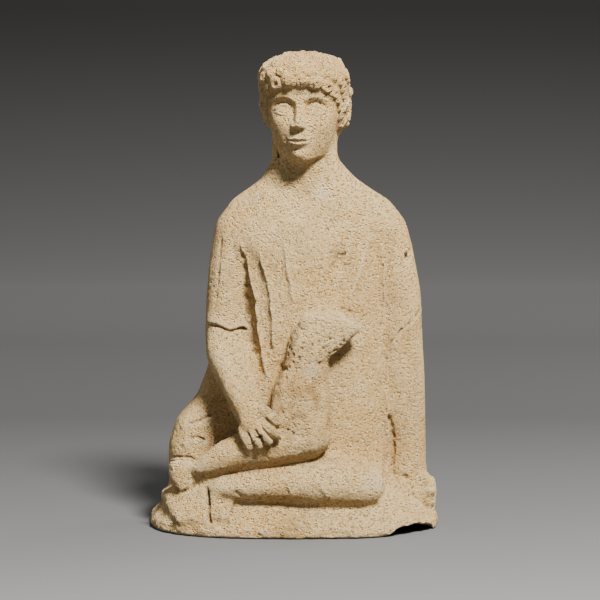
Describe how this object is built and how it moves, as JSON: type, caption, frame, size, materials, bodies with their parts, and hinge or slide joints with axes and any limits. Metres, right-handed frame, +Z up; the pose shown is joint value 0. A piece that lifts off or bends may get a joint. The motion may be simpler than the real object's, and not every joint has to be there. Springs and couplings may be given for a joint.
{
  "type": "temple boy statuette",
  "caption": "Seated boy in a tunic with his legs swept sideways and a small animal held to his chest, carved in limestone together with its low oval plinth.",
  "frame": {"origin": "centre of the bounding box at the plinth's underside", "axes": "+Z up, the figure faces -Y, its left hand side is +X"},
  "size_m": [0.2158, 0.139, 0.35],
  "materials": {
    "limestone": "rough matt limestone, pecked and weathered"
  },
  "bodies": {
    "root": {"temple_boy_statuette": "limestone"}
  },
  "joints": []
}
